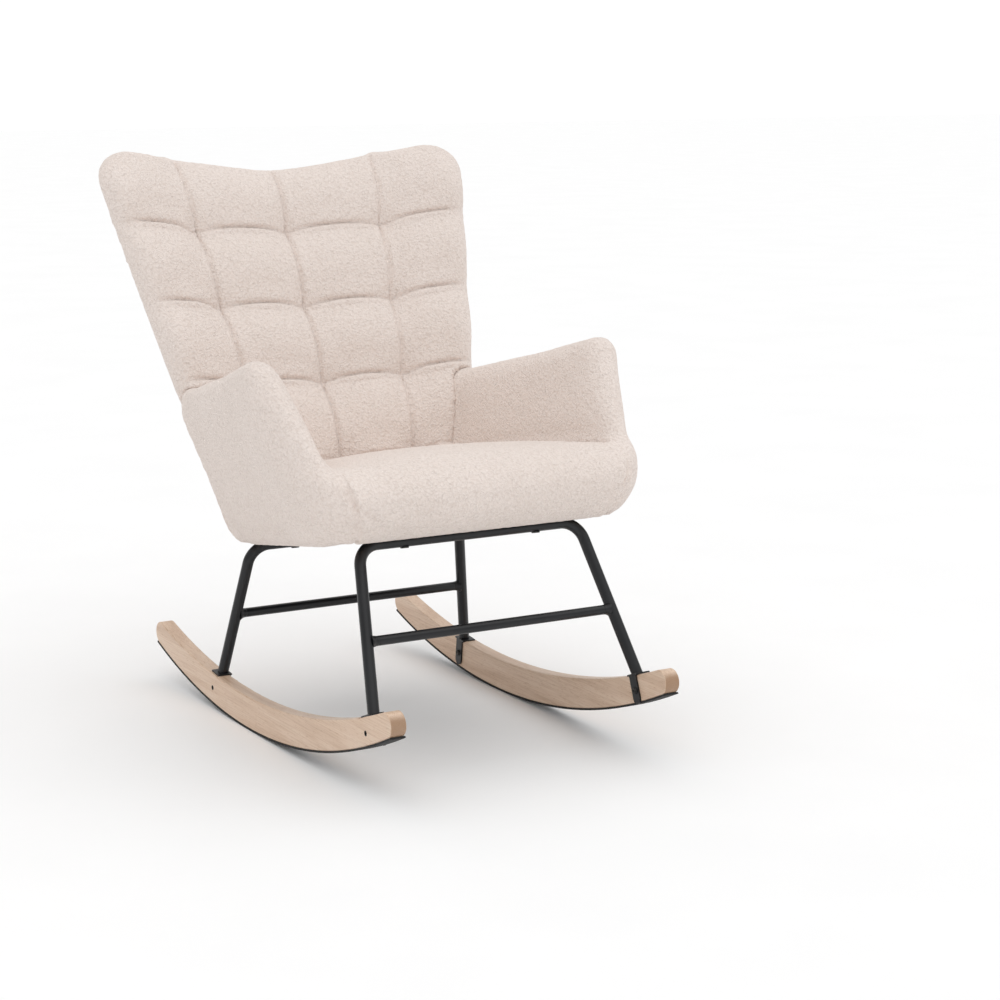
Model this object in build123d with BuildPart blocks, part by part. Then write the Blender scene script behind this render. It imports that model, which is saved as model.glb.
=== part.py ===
"""Upholstered rocking chair: padded seat, arms and tufted back on a steel tube base with wooden rockers.

Millimetres, +Z up, the sitter faces -Y, +X is to the right as seen from the front.
The origin is on the floor, under the middle of the chair's box.
"""

import os
from math import asin, cos, pi, radians, sin, sqrt, tan

from build123d import *

os.makedirs("parts", exist_ok=True)

# Rockers and the rubber strips glued under them
ROCKER_GAUGE = 498.0
ROCKER_THICK = 27.0
ROCKER_RADIUS = 1274.0
ROCKER_MID_HEIGHT = 55.0
ROCKER_END_HEIGHT = 41.0
ROCKER_FRONT_REACH = 537.5
ROCKER_REAR_REACH = 406.5
ROCKER_EDGE_ROUND = 2.5
STRIP_THICK = 3.0
STRIP_OVERHANG = 7.0
REST_LENGTH = 44.0
REST_FROM_SEAT = 151.0

# Steel tube base
TUBE_DIAMETER = 19.0
TUBE_WALL = 1.5
TUBE_BEND = 38.0
FOOT_INSET = 6.0
FRONT_FOOT_REACH = 441.5
REAR_FOOT_REACH = 142.5
FRONT_TUBE_HALF = 203.0
REAR_TUBE_HALF = 205.0
FRONT_TUBE_Q = -167.0
REAR_TUBE_Q = 250.0
STRETCHER_DIAMETER = 16.0
FRONT_STRETCHER_RISE = 100.0
REAR_STRETCHER_RISE = 107.0
WELD_GAP = 0.15

# Foot brackets between leg and rocker
BRACKET_THICK = 3.0
FLANGE_LENGTH = 30.0
FLANGE_OUTER = 9.0
TAB_WIDTH = 20.0
TAB_DROP = 38.0
TAB_HOLE_DROP = 25.0
SEAT_CUT = 0.4

# Fasteners
SMALL_BOLT = 6.0
BIG_BOLT = 8.0
BOLT_PLAY = 0.3
HEAD_RATIO = 1.8
HEAD_HEIGHT_RATIO = 0.55
FLAT_HEAD_RATIO = 0.22
SOCKET_RATIO = 0.6
SLEEVE_WALL = 1.5
SLEEVE_LENGTH = 19.0
NUT_WALL = 1.2
NUT_FLANGE = 20.0
NUT_FLANGE_THICK = 1.5
NUT_BARREL = 10.0

# Seat frame, in the tilted seat's own axes: q runs back along the seat, h stands square on it
SEAT_TILT = 10.3
SEAT_Y = -118.5
SEAT_Z = 351.0
RAIL_HEIGHT = 45.0
RAIL_WIDTH = 38.0
SIDE_RAIL_WIDTH = 22.0
SIDE_RAIL_HEIGHT = 40.0
BLOCK_LEG = 48.0
BLOCK_HEIGHT = 34.0
WEB_WIDTH = 50.0
WEB_THICK = 1.5
WEB_PITCH = 120.0
CROSS_WEB_PITCH = 92.0
DUST_THICK = 0.8
DUST_INSET = 5.0
CLEAR = 0.4

# Seat cushion
SEAT_CROWN = 134.0
SEAT_SIDE_DROP = 14.0
ROLL_FRONT_Q = -270.0
ROLL_BOW = 10.0
ROLL_TOP_Q = -205.0
ROLL_TOP_H = 124.0
ROLL_BULGE_H = 62.0
ROLL_FOOT_Q = -212.0
BODY_BOTTOM_H = -8.0

# Arms: the inner face is a plane that leans out and toes out towards the front
ARM_X = 203.0
ARM_LEAN = 14.0
ARM_SPLAY = 6.45
ARM_THICK = 64.0
ARM_REAR_TOP_H = 268.0
ARM_PEAK_Q = -120.0
ARM_PEAK_H = 303.0
ARM_DIP_Q = -220.0
ARM_DIP_H = 127.0
ARM_TOE_DEPTH = 4.0
ARM_CORNER = 72.0
ARM_TOP_ROUND = 34.0
ARM_PEAK_ROUND = 42.0
ARM_DIP_ROUND = 30.0
ARM_TOE_ROUND = 22.0
ARM_BULGE_ROUND = 30.0
ARM_FOOT_ROUND = 18.0
ARM_REAR_ROUND = 9.0
ARM_TOE_SLOPE = 10.0
ARM_TOE_STEP = 36.0
ARM_BULGE_DROP = 18.0
ARM_FOOT_REACH = 12.0
ARM_REAR_N = 0.0
ARM_SLOT_GAP = 2.0
ARM_BOARD_THICK = 15.0
ARM_BOARD_W = 21.0
ARM_BOARD_INSET = 52.0
ARM_BOLT_Q = 85.0
ARM_BOLT_H = 31.0

# Back, in its own axes: s runs up the back, n points forward out of it
BACK_RECLINE = 18.6
BACK_Q = 283.0
BACK_H = 125.6
BACK_HALF = 268.0
BACK_FLARE = 0.178
BACK_CURVE = 880.0
BACK_BOTTOM_S = -116.0
BACK_TOP_S = 585.0
EAR_RISE = 19.0
EAR_U = 0.74
EAR_ROUND = 104.0
EAR_DROP = 95.0
ROW_PITCH = 149.0
COLUMN_U = 0.53
TUFT_CROWN = 18.0
SEAM_CROWN = 3.0
BACK_DEPTH = 60.0
REAR_BELLY = 2.0
BOARD_FRONT = 22.0
BOARD_THICK = 15.0
COVER_THICK = 4.0
RIM = 26.0
BACK_BOLT_X = 70.0

# The seat's tilted frame and the back's reclined frame
tilt = radians(SEAT_TILT)
SEAT = Plane(origin=(0, SEAT_Y, SEAT_Z), x_dir=(1, 0, 0), z_dir=(0, sin(tilt), cos(tilt)))
recline = radians(SEAT_TILT + BACK_RECLINE)
BACK = Plane(
    origin=SEAT.from_local_coords((0, BACK_Q, BACK_H)),
    x_dir=(1, 0, 0),
    z_dir=(0, -cos(recline), sin(recline)),
)


def seat_point(x, q, h):
    """A point given in the seat's axes."""
    return SEAT.from_local_coords(Vector(x, q, h))


def finish(piece, name):
    """Label a finished piece and write it."""
    piece.part.label = name
    export_step(piece.part, f"parts/{name}.step")


def mirrored(piece):
    """The left-hand twin of a right-hand piece."""
    with BuildPart() as twin:
        add(piece.part)
        mirror(about=Plane.YZ, mode=Mode.REPLACE)
    return twin


# Rockers: arcs about one centre above the resting line, with bullnose ends
press = REST_LENGTH**2 / (8 * ROCKER_RADIUS)
rocker_x = ROCKER_GAUGE / 2
end_half = ROCKER_END_HEIGHT / 2
end_turn = end_half / ROCKER_RADIUS
tip_radius = ROCKER_RADIUS - STRIP_THICK - end_half
front_angle = end_turn - asin(ROCKER_FRONT_REACH / tip_radius)
rear_angle = asin(ROCKER_REAR_REACH / tip_radius) - end_turn
mid_angle = (front_angle + rear_angle) / 2
rest_y = SEAT_Y + REST_FROM_SEAT


def on_rocker(angle, height):
    """Y and Z at an angle from the resting line and a height above the rolling surface."""
    reach = ROCKER_RADIUS - height
    return (rest_y + reach * sin(angle), ROCKER_RADIUS - press - reach * cos(angle))


def rocker_height(angle):
    """Height of the rocker's top above the rolling surface."""
    share = (angle - mid_angle) / (rear_angle - mid_angle)
    return STRIP_THICK + ROCKER_END_HEIGHT + (ROCKER_MID_HEIGHT - ROCKER_END_HEIGHT) * (1 - share**2)


def side_plane(x):
    """A plane across X, with Y to the right and Z up."""
    return Plane(origin=(x, 0, 0), x_dir=(0, 1, 0), z_dir=(1, 0, 0))


def foot_plane(reach):
    """The flat that is cut in the right rocker's top for a foot bracket."""
    sign = 1 if reach > 0 else -1
    angle = sign * asin(abs(reach) / (ROCKER_RADIUS - ROCKER_MID_HEIGHT))
    y, z = on_rocker(angle, rocker_height(angle) - SEAT_CUT)
    return Plane(origin=(rocker_x, y, z), x_dir=(1, 0, 0), z_dir=(0, -sin(angle), cos(angle)))


FEET = {"front": foot_plane(-FRONT_FOOT_REACH), "rear": foot_plane(REAR_FOOT_REACH)}
sleeve_outer = SMALL_BOLT + 2 * SLEEVE_WALL


def tab_plane(foot, x):
    """A plane across X at a foot, with the rocker's tangent to the right and its normal up."""
    return Plane(origin=foot.from_local_coords((x - rocker_x, 0, 0)), x_dir=foot.y_dir, z_dir=(1, 0, 0))


rocker_inner = rocker_x - ROCKER_THICK / 2
rocker_outer = rocker_x + ROCKER_THICK / 2

with BuildPart() as right_rocker:
    with BuildSketch(side_plane(rocker_x)):
        with BuildLine():
            low = STRIP_THICK
            high = STRIP_THICK + ROCKER_END_HEIGHT
            middle = STRIP_THICK + end_half
            ThreePointArc(
                on_rocker(front_angle, low),
                on_rocker(mid_angle, low),
                on_rocker(rear_angle, low),
            )
            ThreePointArc(
                on_rocker(rear_angle, low),
                on_rocker(rear_angle + end_turn, middle),
                on_rocker(rear_angle, high),
            )
            ThreePointArc(
                on_rocker(rear_angle, high),
                on_rocker(mid_angle, STRIP_THICK + ROCKER_MID_HEIGHT),
                on_rocker(front_angle, high),
            )
            ThreePointArc(
                on_rocker(front_angle, high),
                on_rocker(front_angle - end_turn, middle),
                on_rocker(front_angle, low),
            )
        make_face()
    extrude(amount=ROCKER_THICK / 2, both=True)
    top_edges = right_rocker.faces().filter_by(Plane.YZ).edges().filter_by(
        lambda edge: edge.center().Z > on_rocker(mid_angle, STRIP_THICK + end_half)[1]
    )
    fillet(top_edges, ROCKER_EDGE_ROUND)
    for foot in FEET.values():
        with BuildSketch(foot):
            Rectangle(ROCKER_THICK * 2, FLANGE_LENGTH + 2 * CLEAR)
        extrude(amount=BRACKET_THICK, mode=Mode.SUBTRACT)
        with BuildSketch(tab_plane(foot, rocker_x)):
            with Locations((0, -TAB_HOLE_DROP)):
                Circle(sleeve_outer / 2 + BOLT_PLAY / 2)
        extrude(amount=ROCKER_THICK, both=True, mode=Mode.SUBTRACT)
finish(right_rocker, "right_rocker")
finish(mirrored(right_rocker), "left_rocker")

with BuildPart() as right_rocker_strip:
    strip_front = front_angle - STRIP_OVERHANG / ROCKER_RADIUS
    strip_rear = rear_angle + STRIP_OVERHANG / ROCKER_RADIUS
    with BuildSketch(side_plane(rocker_x)):
        with BuildLine():
            ThreePointArc(on_rocker(strip_front, 0), on_rocker(mid_angle, 0), on_rocker(strip_rear, 0))
            Line(on_rocker(strip_rear, 0), on_rocker(strip_rear, STRIP_THICK))
            ThreePointArc(
                on_rocker(strip_rear, STRIP_THICK),
                on_rocker(mid_angle, STRIP_THICK),
                on_rocker(strip_front, STRIP_THICK),
            )
            Line(on_rocker(strip_front, STRIP_THICK), on_rocker(strip_front, 0))
        make_face()
    extrude(amount=ROCKER_THICK / 2, both=True)
    split(bisect_by=Plane.XY, keep=Keep.TOP)
finish(right_rocker_strip, "right_rocker_strip")
finish(mirrored(right_rocker_strip), "left_rocker_strip")

# Foot brackets: a flange under the leg's end, bent down to a rounded tab on the rocker's inner face


def foot_bracket(foot):
    """The bracket of a right-hand foot."""
    flange_inner = -ROCKER_THICK / 2 - BRACKET_THICK
    with BuildPart() as bracket:
        with BuildSketch(foot):
            with Locations(((flange_inner + FLANGE_OUTER) / 2, 0)):
                Rectangle(FLANGE_OUTER - flange_inner, FLANGE_LENGTH)
        extrude(amount=BRACKET_THICK)
        with BuildSketch(tab_plane(foot, rocker_inner)):
            with Locations((0, BRACKET_THICK / 2 - TAB_DROP / 2)):
                Rectangle(TAB_WIDTH, TAB_DROP + BRACKET_THICK)
            with Locations((0, -TAB_DROP)):
                Circle(TAB_WIDTH / 2)
            with Locations((0, -TAB_HOLE_DROP)):
                Circle(SMALL_BOLT / 2 + BOLT_PLAY, mode=Mode.SUBTRACT)
        extrude(amount=-BRACKET_THICK)
    return bracket


for place, foot in FEET.items():
    bracket = foot_bracket(foot)
    finish(bracket, f"right_{place}_bracket")
    finish(mirrored(bracket), f"left_{place}_bracket")


def socket_bolt(plane, diameter, length, height_ratio=HEAD_HEIGHT_RATIO):
    """A round-headed bolt: the plane is the seat of its head, the shank goes against its normal."""
    head = diameter * HEAD_RATIO / 2
    height = diameter * height_ratio
    socket = diameter * SOCKET_RATIO / 2
    with BuildPart(mode=Mode.PRIVATE) as bolt:
        with BuildSketch(plane):
            Circle(diameter / 2)
        extrude(amount=-length)
        with BuildSketch(plane):
            Circle(head)
        extrude(amount=height, taper=12)
        with BuildSketch(plane.offset(height)):
            RegularPolygon(socket, 6)
        extrude(amount=-height / 2, mode=Mode.SUBTRACT)
    return bolt.part


def group(name, pieces):
    """Write identical pieces as one node of separate solids."""
    shapes = Compound(children=[solid for piece in pieces for solid in piece.solids()])
    shapes.label = name
    export_step(shapes, f"parts/{name}.step")


def both_sides(piece):
    """A right-hand piece and its mirror image."""
    return [piece, mirror(piece, about=Plane.YZ)]


rocker_bolts = []
rocker_nuts = []
bolt_length = BRACKET_THICK + ROCKER_THICK - SLEEVE_LENGTH / 3
for foot in FEET.values():
    across = tab_plane(foot, rocker_inner - BRACKET_THICK)
    head_spot = across.from_local_coords((0, -TAB_HOLE_DROP, 0))
    head_plane = Plane(origin=head_spot, x_dir=foot.y_dir, z_dir=(-1, 0, 0))
    rocker_bolts += both_sides(socket_bolt(head_plane, SMALL_BOLT, bolt_length))
    with BuildPart(mode=Mode.PRIVATE) as sleeve:
        with BuildSketch(tab_plane(foot, rocker_outer)):
            with Locations((0, -TAB_HOLE_DROP)):
                Circle(sleeve_outer / 2)
                Circle(SMALL_BOLT / 2 + BOLT_PLAY / 4, mode=Mode.SUBTRACT)
        extrude(amount=-SLEEVE_LENGTH)
    rocker_nuts += both_sides(sleeve.part)
group("rocker_bolts", rocker_bolts)
group("rocker_sleeve_nuts", rocker_nuts)

# Leg frames: one bent tube each, from foot to foot over the seat frame's underside
tube_h = -DUST_THICK - TUBE_DIAMETER / 2
FRAMES = {
    "front": (FEET["front"], FRONT_TUBE_HALF, FRONT_TUBE_Q, FRONT_STRETCHER_RISE),
    "rear": (FEET["rear"], REAR_TUBE_HALF, REAR_TUBE_Q, REAR_STRETCHER_RISE),
}


def leg_points(foot, tube_half, tube_q):
    """The right leg's foot, on top of its bracket, and the corner where it bends under the seat."""
    foot_point = foot.from_local_coords(Vector(-FOOT_INSET, 0, BRACKET_THICK))
    return foot_point, seat_point(tube_half, tube_q, tube_h)


def flip(point):
    """The same point on the left."""
    return Vector(-point.X, point.Y, point.Z)


def bolt_plane(x, q, h):
    """A plane square to the seat, for a bolt that comes up from below."""
    return Plane(origin=seat_point(x, q, h), x_dir=(1, 0, 0), z_dir=-SEAT.z_dir)


leg_bolt_x = {"front": FRONT_TUBE_HALF * 0.6, "rear": REAR_TUBE_HALF * 0.6}
leg_bolts = []
leg_nuts = []
for place, (foot, tube_half, tube_q, rise) in FRAMES.items():
    foot_point, corner = leg_points(foot, tube_half, tube_q)
    below = foot_point + (foot_point - corner).normalized() * TUBE_DIAMETER
    with BuildPart() as leg_frame:
        with BuildLine() as route:
            FilletPolyline(below, corner, flip(corner), flip(below), radius=TUBE_BEND)
        with BuildSketch(Plane(origin=route.line @ 0, z_dir=route.line % 0)):
            Circle(TUBE_DIAMETER / 2)
            Circle(TUBE_DIAMETER / 2 - TUBE_WALL, mode=Mode.SUBTRACT)
        sweep()
        split(bisect_by=foot.offset(BRACKET_THICK), keep=Keep.TOP)
        for side in (-1, 1):
            with BuildSketch(bolt_plane(side * leg_bolt_x[place], tube_q, tube_h)):
                Circle(BIG_BOLT / 2 + BOLT_PLAY)
            extrude(amount=TUBE_DIAMETER, both=True, mode=Mode.SUBTRACT)
    finish(leg_frame, f"{place}_leg_frame")

    share = rise / (corner.Z - foot_point.Z)
    joint = foot_point + (corner - foot_point) * share
    with BuildPart() as long_stretcher:
        with BuildSketch(Plane(origin=joint, x_dir=(0, 1, 0), z_dir=(-1, 0, 0))):
            Circle(STRETCHER_DIAMETER / 2)
            Circle(STRETCHER_DIAMETER / 2 - TUBE_WALL, mode=Mode.SUBTRACT)
        extrude(amount=2 * joint.X)
        for low_end, high_end in ((foot_point, corner), (flip(foot_point), flip(corner))):
            with BuildSketch(Plane(origin=low_end, z_dir=high_end - low_end)):
                Circle(TUBE_DIAMETER / 2 + WELD_GAP)
            extrude(amount=(high_end - low_end).length, mode=Mode.SUBTRACT)

    with BuildPart() as stretcher:
        add(long_stretcher.part.solids().sort_by(SortBy.VOLUME)[-1])
    finish(stretcher, f"{place}_stretcher")

    for side in (-1, 1):
        head_plane = bolt_plane(side * leg_bolt_x[place], tube_q, tube_h - TUBE_DIAMETER / 2)
        leg_bolt_length = TUBE_DIAMETER + DUST_THICK + RAIL_HEIGHT * 0.9
        leg_bolts.append(socket_bolt(head_plane, BIG_BOLT, leg_bolt_length, FLAT_HEAD_RATIO))
        with BuildPart(mode=Mode.PRIVATE) as tee_nut:
            with BuildSketch(bolt_plane(side * leg_bolt_x[place], tube_q, RAIL_HEIGHT)):
                Circle(NUT_FLANGE / 2)
            extrude(amount=NUT_FLANGE_THICK)
            with BuildSketch(bolt_plane(side * leg_bolt_x[place], tube_q, RAIL_HEIGHT)):
                Circle(BIG_BOLT / 2 + NUT_WALL)
            extrude(amount=NUT_BARREL)
            with BuildSketch(bolt_plane(side * leg_bolt_x[place], tube_q, RAIL_HEIGHT)):
                Circle(BIG_BOLT / 2 + BOLT_PLAY / 4)
            extrude(amount=NUT_BARREL, mode=Mode.SUBTRACT)
        leg_nuts.append(tee_nut.part)
group("leg_frame_bolts", leg_bolts)
group("leg_frame_tee_nuts", leg_nuts)

# The arm's inner plane, which also bounds the seat frame and the cushion
lean = tan(radians(ARM_LEAN))
toe = tan(radians(ARM_SPLAY))
arm_stretch = sqrt(1 + lean**2 + toe**2)
arm_normal = (SEAT.x_dir + SEAT.y_dir * toe - SEAT.z_dir * lean).normalized()
arm_along = (SEAT.y_dir - SEAT.x_dir * toe).normalized()


def arm_x(q, h, w=0.0):
    """X of the right arm's inner plane, or of a plane w further out."""
    return ARM_X + lean * h - toe * q + w * arm_stretch


def arm_plane(w):
    """A plane parallel to the right arm's inner face, w outside it."""
    return Plane(origin=seat_point(ARM_X, 0, 0), x_dir=arm_along, z_dir=arm_normal).offset(w)


def on_arm(w, q, h):
    """Sketch coordinates, on the arm plane at w, of a point given by q and h."""
    local = arm_plane(w).to_local_coords(seat_point(arm_x(q, h, w), q, h))
    return (local.X, local.Y)


# The curve of the back, seen along it from above
across_back = Plane(origin=BACK.origin, x_dir=BACK.x_dir, z_dir=-BACK.y_dir)
back_span = 2 * (BACK_TOP_S - BACK_BOTTOM_S)


def wrap(x):
    """How far the curved back comes forward at x."""
    return BACK_CURVE - sqrt(BACK_CURVE**2 - x**2)


rest = radians(BACK_RECLINE)


def back_line(n, h):
    """q of the plane that lies n in front of the back's seam surface, at height h."""
    return BACK_Q + tan(rest) * (h - BACK_H) - n / cos(rest)


def back_band(front, depth):
    """A curved band behind the back's seam surface, drawn across the back."""
    half = BACK_HALF + BACK_FLARE * BACK_TOP_S + RIM
    outer = BACK_CURVE + front + depth
    inner = BACK_CURVE + front
    reach = asin(half / inner)
    inner_end = (inner * sin(reach), BACK_CURVE - inner * cos(reach))
    outer_end = (outer * sin(reach), BACK_CURVE - outer * cos(reach))
    with BuildSketch(across_back) as band:
        with BuildLine():
            ThreePointArc((-inner_end[0], inner_end[1]), (0, -front), inner_end)
            Line(inner_end, outer_end)
            ThreePointArc(outer_end, (0, -front - depth), (-outer_end[0], outer_end[1]))
            Line((-outer_end[0], outer_end[1]), (-inner_end[0], inner_end[1]))
        make_face()
    return band.sketch


def back_half(s):
    """Half the back's width at s."""
    return BACK_HALF + BACK_FLARE * s


def top_of(u):
    """Height of the back's top edge at a share u of its half width: a dip between two rounded ears."""
    share = min(abs(u) / EAR_U, 1.0)
    rise = EAR_RISE * (share * share * (3 - 2 * share))
    out = max(abs(u) - EAR_U, 0.0) * back_half(BACK_TOP_S)
    drop = 1 - sqrt(max(1 - (out / EAR_ROUND) ** 2, 0.0))
    return BACK_TOP_S + rise - EAR_DROP * drop


# Seat frame rails, corner blocks, webbing and dust cover
front_rail_front = FRONT_TUBE_Q - RAIL_WIDTH / 2
front_rail_rear = FRONT_TUBE_Q + RAIL_WIDTH / 2
rear_rail_front = REAR_TUBE_Q - RAIL_WIDTH / 2


def rail_bolt_holes(place, tube_q):
    """Holes for the leg frame's bolts, and recesses for their T-nuts, in a rail."""
    with BuildPart() as holes:
        for side in (-1, 1):
            with BuildSketch(bolt_plane(side * leg_bolt_x[place], tube_q, RAIL_HEIGHT)):
                Circle(BIG_BOLT / 2 + NUT_WALL + BOLT_PLAY)
            extrude(amount=RAIL_HEIGHT)
            with BuildSketch(bolt_plane(side * leg_bolt_x[place], tube_q, RAIL_HEIGHT)):
                Circle(NUT_FLANGE / 2 + BOLT_PLAY)
            extrude(amount=NUT_FLANGE_THICK)
    return holes.part


front_rail_half = arm_x(front_rail_rear, 0) - CLEAR
with BuildPart() as seat_front_rail:
    with BuildSketch(SEAT):
        with Locations((0, FRONT_TUBE_Q)):
            Rectangle(2 * front_rail_half, RAIL_WIDTH)
    extrude(amount=RAIL_HEIGHT)
    add(rail_bolt_holes("front", FRONT_TUBE_Q), mode=Mode.SUBTRACT)
finish(seat_front_rail, "seat_front_rail")

rear_rail_rear = BACK_Q + BOARD_FRONT / 2
rear_rail_half = arm_x(BACK_Q, 0) - 2 * CLEAR
back_bolt_s = -(BACK_H - RAIL_HEIGHT / 2) / cos(radians(BACK_RECLINE))


def back_bolt_plane(x):
    """Seat of a back bolt's head, sunk in the rear rail, looking forward out of the back."""
    head_spot = BACK.from_local_coords(Vector(x, back_bolt_s, back_bolt_head))
    return Plane(origin=head_spot, x_dir=(1, 0, 0), z_dir=BACK.z_dir)


back_bolt_head = wrap(BACK_BOLT_X) + RAIL_WIDTH * 0.3
with BuildPart() as seat_rear_rail:
    with BuildSketch(SEAT):
        with Locations((0, (rear_rail_front + rear_rail_rear) / 2)):
            Rectangle(2 * rear_rail_half, rear_rail_rear - rear_rail_front)
    extrude(amount=RAIL_HEIGHT)
    extrude(back_band(BOARD_FRONT - CLEAR, BACK_DEPTH), amount=back_span, both=True, mode=Mode.SUBTRACT)
    add(rail_bolt_holes("rear", REAR_TUBE_Q), mode=Mode.SUBTRACT)
    for side in (-1, 1):
        with BuildSketch(back_bolt_plane(side * BACK_BOLT_X)):
            Circle(BIG_BOLT / 2 + BOLT_PLAY)
        extrude(amount=BACK_DEPTH, both=True, mode=Mode.SUBTRACT)
        with BuildSketch(back_bolt_plane(side * BACK_BOLT_X)):
            Circle(BIG_BOLT * HEAD_RATIO / 2 + 2 * BOLT_PLAY)
        extrude(amount=BACK_DEPTH, mode=Mode.SUBTRACT)
finish(seat_rear_rail, "seat_rear_rail")

arm_bolt_spots = [on_arm(0, -ARM_BOLT_Q, ARM_BOLT_H), on_arm(0, ARM_BOLT_Q, ARM_BOLT_H)]
with BuildPart() as right_side_rail:
    with BuildSketch(arm_plane(-CLEAR)):
        with BuildLine():
            Polyline(
                on_arm(-CLEAR, front_rail_rear + CLEAR + toe * SIDE_RAIL_WIDTH, -lean * SIDE_RAIL_WIDTH),
                on_arm(-CLEAR, rear_rail_front - CLEAR, -lean * SIDE_RAIL_WIDTH),
                on_arm(-CLEAR, rear_rail_front - CLEAR, SIDE_RAIL_HEIGHT),
                on_arm(-CLEAR, front_rail_rear + CLEAR + toe * SIDE_RAIL_WIDTH, SIDE_RAIL_HEIGHT),
                close=True,
            )
        make_face()
    extrude(amount=-SIDE_RAIL_WIDTH)
    split(bisect_by=SEAT, keep=Keep.TOP)
    with BuildSketch(arm_plane(0)):
        with Locations(*arm_bolt_spots):
            Circle(BIG_BOLT / 2 + BOLT_PLAY)
    extrude(amount=-2 * SIDE_RAIL_WIDTH, mode=Mode.SUBTRACT)
finish(right_side_rail, "seat_right_rail")
finish(mirrored(right_side_rail), "seat_left_rail")


def corner_block(q, step):
    """A triangular glue block in the corner between a side rail and an end rail."""
    depth = SIDE_RAIL_WIDTH * arm_stretch + 2 * CLEAR
    with BuildPart(mode=Mode.PRIVATE) as block:
        with BuildSketch(SEAT.offset(CLEAR)):
            with BuildLine():
                Polyline(
                    (arm_x(q, 0) - depth, q),
                    (arm_x(q + step * BLOCK_LEG, 0) - depth, q + step * BLOCK_LEG),
                    (arm_x(q, 0) - depth - BLOCK_LEG, q),
                    close=True,
                )
            make_face()
        extrude(amount=BLOCK_HEIGHT)
    return block.part


group(
    "seat_corner_blocks",
    both_sides(corner_block(front_rail_rear + CLEAR, 1))
    + both_sides(corner_block(rear_rail_front - CLEAR, -1)),
)

web_gap = CLEAR / 2
with BuildPart() as seat_webbing:
    with BuildSketch(SEAT.offset(RAIL_HEIGHT + web_gap)):
        with Locations((0, (front_rail_front + rear_rail_front + RAIL_WIDTH / 2) / 2)):
            with GridLocations(WEB_PITCH, 0, 3, 1):
                Rectangle(WEB_WIDTH, rear_rail_front + RAIL_WIDTH / 2 - front_rail_front - 2 * CLEAR)
    extrude(amount=WEB_THICK)
finish(seat_webbing, "seat_webbing")

cross_h = RAIL_HEIGHT + 2 * web_gap + WEB_THICK
with BuildPart() as seat_cross_webbing:
    for step in (-1.5, -0.5, 0.5, 1.5):
        q = (front_rail_rear + rear_rail_front) / 2 + step * CROSS_WEB_PITCH
        with BuildSketch(SEAT.offset(cross_h)):
            with Locations((0, q)):
                Rectangle(2 * (arm_x(q + WEB_WIDTH / 2, cross_h) - CLEAR), WEB_WIDTH)
        extrude(amount=WEB_THICK)
finish(seat_cross_webbing, "seat_cross_webbing")

with BuildPart() as dust_cover:
    front_q = front_rail_front + DUST_INSET
    rear_q = REAR_TUBE_Q + RAIL_WIDTH / 2 - DUST_INSET
    with BuildSketch(SEAT):
        with BuildLine():
            front_half = arm_x(front_q, 0) - DUST_INSET - toe * DUST_INSET
            rear_half = arm_x(rear_q, 0) - DUST_INSET
            Polyline(
                (-front_half, front_q),
                (front_half, front_q),
                (rear_half, rear_q),
                (-rear_half, rear_q),
                close=True,
            )
        make_face()
        for place, (_, _, tube_q, _) in FRAMES.items():
            with Locations((leg_bolt_x[place], tube_q), (-leg_bolt_x[place], tube_q)):
                Circle(BIG_BOLT / 2 + BOLT_PLAY, mode=Mode.SUBTRACT)
    extrude(amount=-DUST_THICK)
finish(dust_cover, "dust_cover")

# Back: the front outline shared by board and rear cover, drawn on the back's plane


def back_outline(inset, bottom):
    """The back's outline seen from the front, drawn in by inset at the sides and top."""
    ear_u = EAR_U - inset / back_half(BACK_TOP_S)
    ear_x = ear_u * back_half(BACK_TOP_S)
    ear_s = BACK_TOP_S + EAR_RISE - inset
    corner_s = BACK_TOP_S + EAR_RISE - EAR_ROUND - inset / 2
    corner_x = back_half(corner_s) - inset
    bend = 0.3
    shoulder = (
        ear_x + (corner_x - ear_x) * (1 - bend),
        corner_s + (ear_s - corner_s) * (1 - bend),
    )
    foot_half = back_half(bottom) - inset
    with BuildSketch(BACK) as outline:
        with BuildLine():
            Line((-foot_half, bottom), (foot_half, bottom))
            Line((foot_half, bottom), (corner_x, corner_s))
            ThreePointArc((corner_x, corner_s), shoulder, (ear_x, ear_s))
            ThreePointArc((ear_x, ear_s), (0, BACK_TOP_S - inset), (-ear_x, ear_s))
            ThreePointArc((-ear_x, ear_s), (-shoulder[0], shoulder[1]), (-corner_x, corner_s))
            Line((-corner_x, corner_s), (-foot_half, bottom))
        make_face()
    return outline.sketch


def back_sheet(front, depth, inset, bottom):
    """A curved sheet of the back: a bent band trimmed to the outline."""
    with BuildPart() as sheet:
        extrude(back_band(front, depth), amount=back_span, both=True)
        extrude(back_outline(inset, bottom), amount=BACK_CURVE / 2, both=True, mode=Mode.INTERSECT)
    return sheet.part


# How far the arm's outline draws in, as a share of its thickness, at stations through that thickness
arm_stations = [0.0, 0.06, 0.18, 0.5, 0.78, 0.93, 1.0]
arm_draws = [0.44, 0.25, 0.1, 0.0, 0.08, 0.23, 0.42]

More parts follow.
